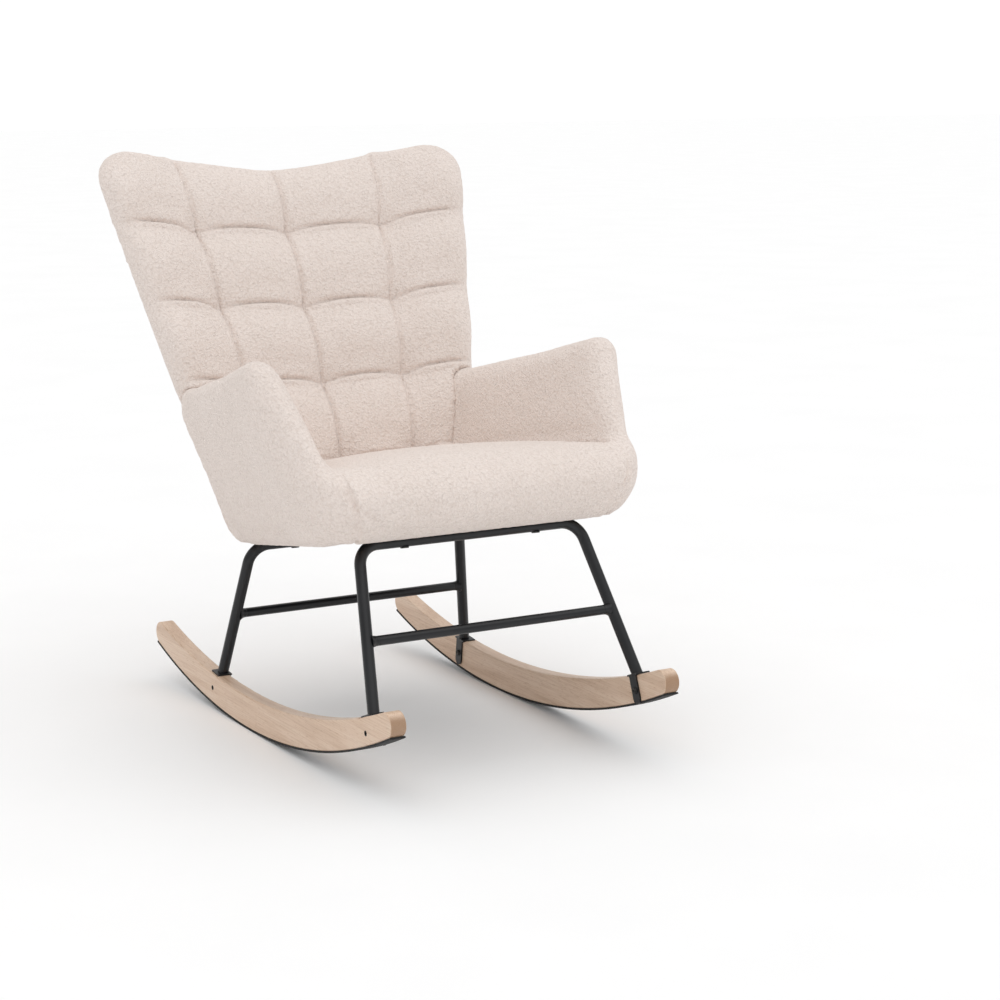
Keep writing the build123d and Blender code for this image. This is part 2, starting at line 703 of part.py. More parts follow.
# Room for the arms in the sides of the back, stepped round the arms' rounded top
with BuildPart() as arm_slots:
    slot_rear = ARM_REAR_N - ARM_SLOT_GAP
    slot_low = BODY_BOTTOM_H - RAIL_HEIGHT
    for station, next_draw in zip(arm_stations[:3], arm_draws[1:4]):
        w = station * ARM_THICK - CLEAR
        grown = ARM_SLOT_GAP - next_draw * ARM_THICK
        slot_high = ARM_REAR_TOP_H + grown
        with BuildSketch(arm_plane(w)):
            with BuildLine():
                FilletPolyline(
                    on_arm(w, back_line(slot_rear, slot_low), slot_low),
                    on_arm(w, back_line(slot_rear, slot_high), slot_high),
                    on_arm(w, ARM_PEAK_Q, ARM_PEAK_H + grown),
                    on_arm(w, ROLL_FRONT_Q, ARM_PEAK_H + grown),
                    on_arm(w, ROLL_FRONT_Q, slot_low),
                    radius=[ARM_SLOT_GAP, ARM_TOP_ROUND, ARM_SLOT_GAP, ARM_SLOT_GAP, ARM_SLOT_GAP],
                    close=True,
                )
            make_face()
        extrude(amount=3 * ARM_THICK, dir=(1, 0, 0))
    mirror(about=Plane.YZ)

with BuildPart() as back_board:
    add(back_sheet(BOARD_FRONT, BOARD_THICK, RIM + CLEAR, BACK_BOTTOM_S + 2 * CLEAR))
    for side in (-1, 1):
        with BuildSketch(back_bolt_plane(side * BACK_BOLT_X)):
            Circle(BIG_BOLT / 2 + NUT_WALL + BOLT_PLAY)
        extrude(amount=-BACK_DEPTH * 2, mode=Mode.SUBTRACT)
    add(arm_slots.part, mode=Mode.SUBTRACT)
finish(back_board, "back_board")

with BuildPart() as back_rear_cover:
    add(back_sheet(BACK_DEPTH - COVER_THICK, COVER_THICK, RIM + CLEAR, BACK_BOTTOM_S + 2 * CLEAR))
finish(back_rear_cover, "back_rear_cover")

# Back pad: one loft for each column of tufts, through sections that fan out with the back's flare
column_edges = [-1.0, -COLUMN_U, 0.0, COLUMN_U, 1.0]
row_edges = [BACK_BOTTOM_S, 0.0, ROW_PITCH, 2 * ROW_PITCH, 3 * ROW_PITCH]
side_round = 0.89
side_ends = [0.915, 0.958, 0.987, 1.0]


def pad_plane(u):
    """The plane through the back's normal and the seam line at a share u of the half width."""
    along = (BACK.y_dir + BACK.x_dir * (u * BACK_FLARE)).normalized()
    foot = BACK.from_local_coords(Vector(u * BACK_HALF, 0, 0))
    return Plane(origin=foot, x_dir=along, z_dir=along.cross(BACK.z_dir))


def pad_section(u, crown):
    """A section of the back pad: five pillowed rows in front, a rounded top and a plain rear."""
    past = max(abs(u) - side_round, 0.0) / (1 - side_round)
    thin = max(sqrt(1 - past**2), 0.3) if past < 1 else 0.3
    middle = -BACK_DEPTH / 2
    front_face = middle + BACK_DEPTH / 2 * thin
    rear_face = middle - BACK_DEPTH / 2 * thin
    bulge = (SEAM_CROWN + (TUFT_CROWN - SEAM_CROWN) * crown) * thin
    stretch = sqrt(1 + (u * BACK_FLARE) ** 2)
    top = top_of(u)
    shoulder = top - BACK_DEPTH / 2

    def spot(s, n):
        return (s * stretch, wrap(u * back_half(s)) + n)

    with BuildSketch(pad_plane(u)) as section:
        with BuildLine():
            rows = row_edges + [shoulder]
            for lower, upper in zip(rows, rows[1:]):
                ThreePointArc(
                    spot(lower, front_face),
                    spot((lower + upper) / 2, front_face + bulge),
                    spot(upper, front_face),
                )
            lift = top - shoulder
            ThreePointArc(
                spot(shoulder, front_face),
                spot(shoulder + 0.7071 * lift, middle + 0.7071 * (front_face - middle)),
                spot(top, middle),
            )
            ThreePointArc(
                spot(top, middle),
                spot(shoulder + 0.7071 * lift, middle + 0.7071 * (rear_face - middle)),
                spot(shoulder, rear_face),
            )
            waist = (shoulder + BACK_BOTTOM_S) / 2
            ThreePointArc(
                spot(shoulder, rear_face),
                spot(waist, rear_face - REAR_BELLY),
                spot(BACK_BOTTOM_S, rear_face),
            )
            Line(spot(BACK_BOTTOM_S, rear_face), spot(BACK_BOTTOM_S, front_face))
        make_face()
    return section.sketch.face()


def column_stations(left, right):
    """Shares of the half width, with their crown, at which a column of tufts is drawn."""
    inner = [0.2, 0.5, 0.8]
    stations = [left] + [left + (right - left) * share for share in inner] + [right]
    if right == 1.0:
        stations = [left, left + 0.1, 0.75] + side_ends
    if left == -1.0:
        stations = [-share for share in reversed(side_ends)] + [-0.75, right - 0.1, right]
    crowns = []
    for u in stations:
        reach = abs(u)
        share = (u - left) / (right - left)
        if abs(left) == 1.0 or right == 1.0:
            share = (reach - COLUMN_U) / (1 - COLUMN_U) * 0.75
        crowns.append(sin(pi * share))
    return list(zip(stations, crowns))


with BuildPart() as back_pad:
    for left, right in zip(column_edges, column_edges[1:]):
        loft([pad_section(u, crown) for u, crown in column_stations(left, right)])
    add(back_sheet(BOARD_FRONT - CLEAR, BACK_DEPTH, RIM, 2 * BACK_BOTTOM_S), mode=Mode.SUBTRACT)
    with BuildSketch(SEAT):
        with Locations((0, BACK_Q)):
            Rectangle(2 * arm_x(rear_rail_front - RAIL_WIDTH, RAIL_HEIGHT), BACK_Q)
    extrude(amount=RAIL_HEIGHT + 2 * WEB_THICK + 4 * CLEAR, mode=Mode.SUBTRACT)
    add(arm_slots.part, mode=Mode.SUBTRACT)

with BuildPart() as trimmed_back_pad:
    add(back_pad.part.solids().sort_by(SortBy.VOLUME)[-1])
finish(trimmed_back_pad, "back_pad")

back_bolts = []
back_nuts = []
for side in (-1, 1):
    seat_of_head = back_bolt_plane(side * BACK_BOLT_X)
    shank = back_bolt_head - wrap(BACK_BOLT_X) + BOARD_FRONT + BOARD_THICK * 0.8
    back_bolts.append(socket_bolt(seat_of_head, BIG_BOLT, shank))
    nut_face = back_bolt_head - wrap(BACK_BOLT_X) + BOARD_FRONT + BOARD_THICK
    with BuildPart(mode=Mode.PRIVATE) as back_nut:
        with BuildSketch(seat_of_head.offset(-nut_face - NUT_FLANGE_THICK)):
            Circle(NUT_FLANGE / 2)
        extrude(amount=-NUT_FLANGE_THICK)
        with BuildSketch(seat_of_head.offset(-nut_face - 2 * NUT_FLANGE_THICK)):
            Circle(BIG_BOLT / 2 + NUT_WALL)
        extrude(amount=NUT_BARREL + NUT_FLANGE_THICK)
        with BuildSketch(seat_of_head.offset(-nut_face - 3 * NUT_FLANGE_THICK)):
            Circle(BIG_BOLT / 2 + BOLT_PLAY / 4)
        extrude(amount=NUT_BARREL * 2, mode=Mode.SUBTRACT)
    back_nuts.append(back_nut.part)
group("back_bolts", back_bolts)
group("back_tee_nuts", back_nuts)

# Seat cushion: a crowned pad between the arms, with a full roll in front of them
cushion_bottom = cross_h + WEB_THICK + CLEAR


def cushion_plane(u):
    """A plane through the cushion that fans out to the arms' inner planes at u = -1 and 1."""
    normal = (SEAT.x_dir + SEAT.y_dir * (toe * u) - SEAT.z_dir * (lean * u)).normalized()
    along = (SEAT.y_dir - SEAT.x_dir * (toe * u)).normalized()
    return Plane(origin=seat_point(u * (ARM_X - 2 * CLEAR), 0, 0), x_dir=along, z_dir=normal)


def cushion_section(u):
    """A side view of the cushion: rail cover in front, crowned top, rear edge along the back."""
    plane = cushion_plane(u)
    drop = SEAT_SIDE_DROP * abs(u) ** 5
    high = SEAT_CROWN - drop
    edge = SEAT_CROWN - 16 - drop

    def spot(q, h):
        local = plane.to_local_coords(seat_point(u * (arm_x(q, h) - 2 * CLEAR), q, h))
        return (local.X, local.Y)

    reach = arm_x(BACK_Q, edge) * abs(u)
    pillow = wrap(reach) + TUFT_CROWN + SEAM_CROWN
    nose = ROLL_FRONT_Q - ROLL_BOW * (1 - u**2)
    front_high = ROLL_TOP_H - drop / 2
    with BuildSketch(plane) as section:
        with BuildLine():
            Polyline(
                spot(ROLL_FOOT_Q, BODY_BOTTOM_H),
                spot(front_rail_front - CLEAR, BODY_BOTTOM_H),
                spot(front_rail_front - CLEAR, cushion_bottom),
                spot(back_line(pillow, cushion_bottom), cushion_bottom),
                spot(back_line(pillow, edge), edge),
            )
            ThreePointArc(
                spot(back_line(pillow, edge), edge),
                spot((ROLL_TOP_Q + BACK_Q) / 2 - RAIL_WIDTH, high),
                spot(ROLL_TOP_Q, front_high),
            )
            ThreePointArc(
                spot(ROLL_TOP_Q, front_high),
                spot((2 * nose + ROLL_TOP_Q) / 3, (ROLL_BULGE_H + 2 * front_high) / 3),
                spot(nose, ROLL_BULGE_H),
            )
            ThreePointArc(
                spot(nose, ROLL_BULGE_H),
                spot((2 * nose + ROLL_FOOT_Q) / 3, (ROLL_BULGE_H + 2 * BODY_BOTTOM_H) / 3),
                spot(ROLL_FOOT_Q, BODY_BOTTOM_H),
            )
        make_face()
    return section.sketch.face()


with BuildPart() as seat_cushion:
    loft([cushion_section(u) for u in (-1.0, -0.93, -0.75, -0.4, 0.0, 0.4, 0.75, 0.93, 1.0)])
finish(seat_cushion, "seat_cushion")

# Arms: padded panels that reach forward beside the cushion, lofted outwards through swelling outlines


def arm_outline(w, inset):
    """The right arm's outline on the plane at w: rear edge along the back, peak, dip, and rounded toe."""
    outside = w > ARM_THICK / 2
    edge = inset if outside else inset * 0.25
    corner = ARM_CORNER - sqrt(ARM_CORNER**2 - w**2) + edge
    low = BODY_BOTTOM_H + inset * 0.35
    high = ARM_REAR_TOP_H - inset
    toe_q = ROLL_FRONT_Q + ARM_TOE_DEPTH + corner
    corners = [
        on_arm(w, back_line(ARM_REAR_N, low) - inset * 0.2, low),
        on_arm(w, back_line(ARM_REAR_N, high) - inset * 0.2, high),
        on_arm(w, ARM_PEAK_Q + inset * 0.3, ARM_PEAK_H - inset),
        on_arm(w, ARM_DIP_Q + inset * 0.8 + corner * 0.85, ARM_DIP_H - inset * 0.2),
        on_arm(w, toe_q + ARM_TOE_SLOPE, ARM_DIP_H - ARM_TOE_STEP - edge * 0.6),
        on_arm(w, toe_q, ROLL_BULGE_H - ARM_BULGE_DROP),
        on_arm(w, ROLL_FOOT_Q - ARM_FOOT_REACH + corner * 1.2, low),
    ]
    radii = [
        ARM_REAR_ROUND,
        max(ARM_TOP_ROUND - inset * 0.3, ARM_REAR_ROUND),
        ARM_PEAK_ROUND,
        ARM_DIP_ROUND,
        ARM_TOE_ROUND,
        ARM_BULGE_ROUND,
        ARM_FOOT_ROUND,
    ]
    with BuildSketch(arm_plane(w)) as outline:
        with BuildLine():
            FilletPolyline(*corners, radius=radii, close=True)
        make_face()
    return outline.sketch.face()


arm_board_face = arm_plane(ARM_BOARD_W)
pocket_depth = ARM_BOARD_THICK + NUT_FLANGE_THICK + 2 * CLEAR


def board_outline(w, inset):
    """The arm board's outline, drawn in from the panel's own."""
    low = BODY_BOTTOM_H + inset * 0.25
    corners = [
        on_arm(w, back_line(ARM_REAR_N, low) - inset, low),
        on_arm(w, back_line(ARM_REAR_N, ARM_REAR_TOP_H - inset) - inset, ARM_REAR_TOP_H - inset),
        on_arm(w, ARM_PEAK_Q + inset * 0.6, ARM_PEAK_H - inset * 1.2),
        on_arm(w, ARM_DIP_Q + inset, ARM_DIP_H),
        on_arm(w, ARM_DIP_Q + inset, low),
    ]
    with BuildSketch(arm_plane(w)) as outline:
        with BuildLine():
            Polyline(*corners, close=True)
        make_face()
    return outline.sketch.face()


with BuildPart() as right_arm_pad:
    loft([arm_outline(w * ARM_THICK, draw * ARM_THICK) for w, draw in zip(arm_stations, arm_draws)])
    extrude(
        board_outline(ARM_BOARD_W - CLEAR, ARM_BOARD_INSET - CLEAR),
        amount=pocket_depth,
        dir=arm_normal,
        mode=Mode.SUBTRACT,
    )
    with BuildSketch(arm_board_face):
        with Locations(*arm_bolt_spots):
            Circle(BIG_BOLT / 2 + 2 * BOLT_PLAY)
    extrude(amount=-2 * ARM_BOARD_W, mode=Mode.SUBTRACT)
finish(right_arm_pad, "right_arm_pad")
finish(mirrored(right_arm_pad), "left_arm_pad")

with BuildPart() as right_arm_board:
    extrude(board_outline(ARM_BOARD_W, ARM_BOARD_INSET), amount=ARM_BOARD_THICK, dir=arm_normal)
    with BuildSketch(arm_board_face):
        with Locations(*arm_bolt_spots):
            Circle(BIG_BOLT / 2 + NUT_WALL + BOLT_PLAY)
    extrude(amount=ARM_BOARD_THICK, mode=Mode.SUBTRACT)
finish(right_arm_board, "right_arm_board")
finish(mirrored(right_arm_board), "left_arm_board")

arm_bolts = []
arm_nuts = []
for spot in arm_bolt_spots:
    inner_w = -CLEAR - SIDE_RAIL_WIDTH
    seat_of_head = arm_plane(inner_w).from_local_coords(Vector(*spot, 0))
    head_plane = Plane(origin=seat_of_head, x_dir=arm_along, z_dir=-arm_normal)
    to_nut = ARM_BOARD_W + ARM_BOARD_THICK - inner_w
    arm_bolts += both_sides(socket_bolt(head_plane, BIG_BOLT, to_nut))
    with BuildPart() as arm_nut:
        with BuildSketch(head_plane.offset(-to_nut - NUT_FLANGE_THICK)):
            Circle(NUT_FLANGE / 2)
        extrude(amount=NUT_FLANGE_THICK)
        with BuildSketch(head_plane.offset(-to_nut)):
            Circle(BIG_BOLT / 2 + NUT_WALL)
        extrude(amount=NUT_BARREL)
        with BuildSketch(head_plane.offset(-to_nut - NUT_BARREL)):
            Circle(BIG_BOLT / 2 + BOLT_PLAY / 4)
        extrude(amount=2 * NUT_BARREL, mode=Mode.SUBTRACT)
    arm_nuts += both_sides(arm_nut.part)
group("arm_bolts", arm_bolts)
group("arm_tee_nuts", arm_nuts)
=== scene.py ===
import math

import bpy
import numpy as np
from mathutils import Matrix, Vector, noise
from mathutils.bvhtree import BVHTree


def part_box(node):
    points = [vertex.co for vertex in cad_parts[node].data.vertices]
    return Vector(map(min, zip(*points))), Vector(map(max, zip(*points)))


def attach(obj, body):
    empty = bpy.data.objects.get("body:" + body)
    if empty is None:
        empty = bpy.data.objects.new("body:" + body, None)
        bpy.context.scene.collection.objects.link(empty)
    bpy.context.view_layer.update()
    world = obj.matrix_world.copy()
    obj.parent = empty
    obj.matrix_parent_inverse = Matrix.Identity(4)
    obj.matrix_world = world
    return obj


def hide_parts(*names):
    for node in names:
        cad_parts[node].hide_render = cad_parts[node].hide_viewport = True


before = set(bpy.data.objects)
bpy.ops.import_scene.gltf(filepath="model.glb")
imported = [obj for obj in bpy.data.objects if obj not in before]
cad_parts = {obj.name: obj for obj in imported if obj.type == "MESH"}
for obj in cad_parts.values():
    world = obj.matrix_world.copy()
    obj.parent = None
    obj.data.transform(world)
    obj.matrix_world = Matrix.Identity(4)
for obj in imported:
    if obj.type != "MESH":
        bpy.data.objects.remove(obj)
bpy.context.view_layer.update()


# Rockers: two runners of solid beech, bandsawn to an arc from straight-grained planks, with rounded
# edges and a satin lacquer. Each stands on edge under one side of the base and is bolted to two brackets.
def new_material(name):
    """An empty node material with its shader."""
    material = bpy.data.materials.new(name)
    material.use_nodes = True
    shader = material.node_tree.nodes["Principled BSDF"]
    return material, material.node_tree, shader


def stretched_noise(tree, stretch, size, detail=4.0, rough=0.55):
    """Noise in the object's own metres, drawn out by a different amount along each axis."""
    place = tree.nodes.new("ShaderNodeTexCoord")
    mapping = tree.nodes.new("ShaderNodeMapping")
    mapping.inputs["Scale"].default_value = stretch
    pattern = tree.nodes.new("ShaderNodeTexNoise")
    pattern.inputs["Scale"].default_value = size
    pattern.inputs["Detail"].default_value = detail
    pattern.inputs["Roughness"].default_value = rough
    tree.links.new(place.outputs["Object"], mapping.inputs["Vector"])
    tree.links.new(mapping.outputs["Vector"], pattern.inputs["Vector"])
    return pattern.outputs["Fac"]


def ramp(tree, value, stops):
    """Colours along a value, given as (position, colour) stops."""
    colours = tree.nodes.new("ShaderNodeValToRGB")
    elements = colours.color_ramp.elements
    while len(elements) < len(stops):
        elements.new(0.5)
    for element, (position, colour) in zip(elements, stops):
        element.position = position
        element.color = (*colour, 1.0)
    tree.links.new(value, colours.inputs["Fac"])
    return colours.outputs["Color"]


def varied(tree, shader, socket, value, stops):
    """Let one input of a shader vary along a value."""
    tree.links.new(ramp(tree, value, stops), shader.inputs[socket])


def mixed(tree, how_much, first, second, way="MIX"):
    """Two colours mixed by a value, which may be a number."""
    node = tree.nodes.new("ShaderNodeMix")
    node.data_type = "RGBA"
    node.blend_type = way
    for socket, given in ((node.inputs[0], how_much), (node.inputs[6], first), (node.inputs[7], second)):
        if isinstance(given, bpy.types.NodeSocket):
            tree.links.new(given, socket)
        elif isinstance(given, tuple):
            socket.default_value = (*given, 1.0)
        else:
            socket.default_value = given
    return node.outputs[2]


def raised(tree, shader, heights):
    """Bumps on a shader: each is (value, strength, height in metres), one on top of the other."""
    under = None
    for value, strength, height in heights:
        bump = tree.nodes.new("ShaderNodeBump")
        bump.inputs["Strength"].default_value = strength
        bump.inputs["Distance"].default_value = height
        tree.links.new(value, bump.inputs["Height"])
        if under is not None:
            tree.links.new(under, bump.inputs["Normal"])
        under = bump.outputs["Normal"]
    tree.links.new(under, shader.inputs["Normal"])


def facing(tree, axis):
    """How squarely a surface faces along X, Y or Z, from 0 to 1."""
    geometry = tree.nodes.new("ShaderNodeNewGeometry")
    split = tree.nodes.new("ShaderNodeSeparateXYZ")
    size = tree.nodes.new("ShaderNodeMath")
    size.operation = "ABSOLUTE"
    tree.links.new(geometry.outputs["Normal"], split.inputs["Vector"])
    tree.links.new(split.outputs[axis], size.inputs[0])
    return size.outputs["Value"]


def dress(material, *names):
    """Give CAD nodes a finish."""
    for name in names:
        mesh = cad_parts[name].data
        mesh.materials.clear()
        mesh.materials.append(material)


beech, tree, shader = new_material("lacquered_beech")
growth = stretched_noise(tree, (9.0, 0.55, 9.0), 6.0, detail=5.0)
lines = stretched_noise(tree, (60.0, 1.3, 60.0), 9.0, detail=3.0)
flecks = stretched_noise(tree, (160.0, 14.0, 160.0), 5.0, detail=2.0)
plank_tones = [(0.30, (0.62, 0.437, 0.31)), (0.52, (0.735, 0.55, 0.413)), (0.75, (0.79, 0.625, 0.49))]
plank = ramp(tree, growth, plank_tones)
grain = ramp(tree, lines, [(0.36, (0.80, 0.72, 0.64)), (0.56, (1.0, 1.0, 1.0))])
fleck = ramp(tree, flecks, [(0.30, (0.74, 0.62, 0.50)), (0.40, (1.0, 1.0, 1.0))])
sawn = mixed(tree, 0.8, mixed(tree, 0.6, plank, grain, "MULTIPLY"), fleck, "MULTIPLY")
end_share = ramp(tree, facing(tree, "Y"), [(0.45, (0.0, 0.0, 0.0)), (0.85, (0.8, 0.8, 0.8))])
tree.links.new(mixed(tree, end_share, sawn, (0.30, 0.165, 0.085)), shader.inputs["Base Color"])
shader.inputs["Roughness"].default_value = 0.42
shader.inputs["Coat Weight"].default_value = 0.18
shader.inputs["Coat Roughness"].default_value = 0.3
raised(tree, shader, [(lines, 0.12, 0.0006), (flecks, 0.10, 0.0004)])
dress(beech, "left_rocker", "right_rocker")


# Floor strips: two thin strips of black rubber, glued under the rockers so that they grip and don't mark
# the floor. They are cut from ribbed sheet.
rubber, tree, shader = new_material("black_rubber")
dust = stretched_noise(tree, (1.0, 1.0, 1.0), 45.0, detail=6.0)
ribs = stretched_noise(tree, (400.0, 30.0, 400.0), 3.0, detail=1.0)
varied(tree, shader, "Base Color", dust, [(0.35, (0.008, 0.008, 0.009)), (0.75, (0.030, 0.029, 0.028))])
shader.inputs["Roughness"].default_value = 0.78
raised(tree, shader, [(ribs, 0.35, 0.0005), (dust, 0.15, 0.0004)])
dress(rubber, "left_rocker_strip", "right_rocker_strip")


# Base: two bent U frames of round steel tube, a stretcher welded across each, and four foot brackets of
# folded plate welded under the legs. All of it has one coat of satin black powder.
powder, tree, shader = new_material("black_powder_coat")
peel = stretched_noise(tree, (1.0, 1.0, 1.0), 900.0, detail=2.0)
cloudy = stretched_noise(tree, (1.0, 1.0, 1.0), 14.0, detail=5.0)
varied(tree, shader, "Base Color", cloudy, [(0.3, (0.006, 0.0065, 0.008)), (0.7, (0.012, 0.0125, 0.0145))])
varied(tree, shader, "Roughness", cloudy, [(0.3, (0.27, 0.27, 0.27)), (0.7, (0.37, 0.37, 0.37))])
shader.inputs["Specular IOR Level"].default_value = 0.42
raised(tree, shader, [(peel, 0.25, 0.0002)])
dress(powder, "front_leg_frame", "rear_leg_frame", "front_stretcher", "rear_stretcher")
dress(powder, "left_front_bracket", "right_front_bracket", "left_rear_bracket", "right_rear_bracket")


def new_piece(name, points, faces, material):
    """A smooth mesh object from points and faces."""
    mesh = bpy.data.meshes.new(name)
    mesh.from_pydata([tuple(point) for point in points], [], faces)
    mesh.materials.append(material)
    mesh.polygons.foreach_set("use_smooth", [True] * len(mesh.polygons))
    mesh.update()
    piece = bpy.data.objects.new(name, mesh)
    bpy.context.scene.collection.objects.link(piece)
    return piece


# Welds: where each stretcher meets a leg, the bead runs out along the stretcher in a small flare. It is
# steel, ground a little and coated with the base.
weld_length, weld_flare, weld_gap = 0.012, 0.0042, 0.0001
weld_sides, weld_steps = 32, 7
for place in ("front", "rear"):
    low, high = (np.array(corner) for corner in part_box(f"{place}_stretcher"))
    middle = (low + high) / 2
    tube = (high[2] - low[2]) / 2
    for side, end in (("left", low[0]), ("right", high[0])):
        inward = -1 if side == "right" else 1
        flare = []
        for step in range(weld_steps + 1):
            share = step / weld_steps
            flare.append((weld_length * share, tube + weld_gap + weld_flare * (1 - share) ** 2.2))
        profile = flare + [(weld_length, tube * 0.96), (0.0, tube * 0.96)]
        points = []
        for turn in range(weld_sides):
            angle = 2 * math.pi * turn / weld_sides
            for along, radius in profile:
                y = middle[1] + radius * math.cos(angle)
                z = middle[2] + radius * math.sin(angle)
                points.append((end + inward * along, y, z))
        count = len(profile)
        faces = []
        for turn in range(weld_sides):
            here, there = turn * count, (turn + 1) % weld_sides * count
            for spot in range(count):
                after = (spot + 1) % count
                face = (here + spot, there + spot, there + after, here + after)
                faces.append(face if inward > 0 else face[::-1])
        weld = new_piece(f"{place}_{side}_weld", points, faces, powder)
        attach(weld, "root")


# Bolts and nuts: hex socket bolts through the brackets, rails and boards, with sleeve nuts in the rockers
# and T-nuts in the wood. They are blackened steel with a film of oil.
oiled, tree, shader = new_material("blackened_steel")
scuff = stretched_noise(tree, (1.0, 1.0, 1.0), 260.0, detail=6.0)
varied(tree, shader, "Base Color", scuff, [(0.35, (0.030, 0.029, 0.028)), (0.72, (0.105, 0.100, 0.095))])
shader.inputs["Metallic"].default_value = 0.9
varied(tree, shader, "Roughness", scuff, [(0.3, (0.32, 0.32, 0.32)), (0.7, (0.5, 0.5, 0.5))])
raised(tree, shader, [(scuff, 0.2, 0.0002)])
dress(oiled, "rocker_bolts", "rocker_sleeve_nuts", "leg_frame_bolts", "leg_frame_tee_nuts")
dress(oiled, "arm_bolts", "arm_tee_nuts", "back_bolts", "back_tee_nuts")


# Seat frame: four rails of planed pine with glued and screwed corner blocks. The leg frames bolt up into
# the front and rear rails. It is left raw, because the upholstery covers it.
pine, tree, shader = new_material("planed_pine")
rings = stretched_noise(tree, (3.0, 12.0, 18.0), 7.0, detail=5.0)
pores = stretched_noise(tree, (40.0, 160.0, 220.0), 4.0, detail=2.0)
ring_tones = [(0.32, (0.42, 0.27, 0.14)), (0.48, (0.62, 0.45, 0.27)), (0.70, (0.72, 0.56, 0.37))]
wood = ramp(tree, rings, ring_tones)
streaks = ramp(tree, pores, [(0.35, (0.7, 0.6, 0.5)), (0.5, (1.0, 1.0, 1.0))])
tree.links.new(mixed(tree, 0.5, wood, streaks, "MULTIPLY"), shader.inputs["Base Color"])
shader.inputs["Roughness"].default_value = 0.7
raised(tree, shader, [(rings, 0.1, 0.0008), (pores, 0.2, 0.0004)])
dress(pine, "seat_front_rail", "seat_rear_rail", "seat_left_rail", "seat_right_rail", "seat_corner_blocks")


# Arm boards and back board: panels of 15 mm plywood, the back one pressed to a curve. They carry the
# padding and are bolted to the rails. Their edges show the plies.
ply, tree, shader = new_material("birch_plywood")
figure = stretched_noise(tree, (5.0, 2.0, 0.8), 8.0, detail=6.0)
veneer = stretched_noise(tree, (240.0, 240.0, 4.0), 2.0, detail=1.0)
face = ramp(tree, figure, [(0.3, (0.55, 0.40, 0.25)), (0.7, (0.70, 0.54, 0.37))])
plies = ramp(tree, veneer, [(0.35, (0.62, 0.5, 0.4)), (0.6, (1.0, 1.0, 1.0))])
tree.links.new(mixed(tree, 0.4, face, plies, "MULTIPLY"), shader.inputs["Base Color"])
shader.inputs["Roughness"].default_value = 0.66
raised(tree, shader, [(figure, 0.1, 0.0006)])
dress(ply, "left_arm_board", "right_arm_board", "back_board")


# Webbing: straps of woven black elastic, stretched over the rails both ways and stapled down, which carry
# the seat foam. Ribs run along each strap.
webbing, tree, shader = new_material("woven_webbing")
weave = stretched_noise(tree, (420.0, 420.0, 420.0), 1.0, detail=1.0)
stripe = stretched_noise(tree, (90.0, 4.0, 4.0), 3.0, detail=1.0)
varied(tree, shader, "Base Color", stripe, [(0.4, (0.012, 0.012, 0.013)), (0.6, (0.045, 0.043, 0.041))])
shader.inputs["Roughness"].default_value = 0.85
raised(tree, shader, [(weave, 0.5, 0.0006)])
dress(webbing, "seat_webbing", "seat_cross_webbing")


# The seat's own axes: q runs back along the tilted seat, h stands square on it. The arms' inner faces are
# planes that lean out and toe out, and every soft piece of the seat is placed by them.
seat_tilt = math.radians(10.3)
seat_origin = np.array([0.0, -0.1185, 0.351])
seat_back = np.array([0.0, math.cos(seat_tilt), -math.sin(seat_tilt)])
seat_up = np.array([0.0, math.sin(seat_tilt), math.cos(seat_tilt)])
arm_lean = math.tan(math.radians(14.0))
arm_splay = math.tan(math.radians(6.45))
arm_inner_x = 0.203


def seat_axes(points):
    """x, q and h of points, and how far each lies outside the nearer arm's inner plane."""
    away = points - seat_origin
    q = away @ seat_back
    h = away @ seat_up
    outside = (np.abs(points[:, 0]) - (arm_inner_x + arm_lean * h - arm_splay * q))
    return points[:, 0], q, h, outside / math.sqrt(1 + arm_lean**2 + arm_splay**2)


# Dust cover: a thin black nonwoven cloth, stapled under the seat rails to close the underside. It hangs
# a little slack between the rails and puckers at its staples.
dust_half_front, dust_half_rear = 0.2179, 0.1681
dust_front_q, dust_rear_q = -0.181, 0.264
dust_gap, dust_hang, dust_pucker = 0.0005, 0.0022, 0.0003
dust_rows, dust_columns = 60, 56
points = []
for row in range(dust_rows + 1):
    along = row / dust_rows
    q = dust_front_q + (dust_rear_q - dust_front_q) * along
    half = dust_half_front + (dust_half_rear - dust_half_front) * along
    for column in range(dust_columns + 1):
        across = 2 * column / dust_columns - 1
        hang = dust_hang * (1 - across**2) ** 1.5 * (4 * along * (1 - along))
        side_pucker = math.sin(28 * along * math.pi) * across**8
        end_pucker = math.sin(24 * across * math.pi) * (2 * along - 1) ** 8
        drop = dust_gap + hang + max(dust_pucker * (side_pucker + end_pucker), 0.0)
        points.append(seat_origin + np.array([across * half, 0, 0]) + seat_back * q - seat_up * drop)
quads = []
for row in range(dust_rows):
    for column in range(dust_columns):
        first = row * (dust_columns + 1) + column
        quads.append((first, first + 1, first + dust_columns + 2, first + dust_columns + 1))

felt, tree, shader = new_material("black_nonwoven")
fibres = stretched_noise(tree, (1.0, 1.0, 1.0), 700.0, detail=4.0)
dimples = stretched_noise(tree, (1.0, 1.0, 1.0), 330.0, detail=1.0)
varied(tree, shader, "Base Color", fibres, [(0.35, (0.010, 0.010, 0.011)), (0.7, (0.040, 0.040, 0.040))])
shader.inputs["Roughness"].default_value = 0.92
raised(tree, shader, [(dimples, 0.4, 0.0004), (fibres, 0.3, 0.0002)])
dust_cover = new_piece("dust_cover_cloth", points, quads, felt)
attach(dust_cover, "root")
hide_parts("dust_cover")


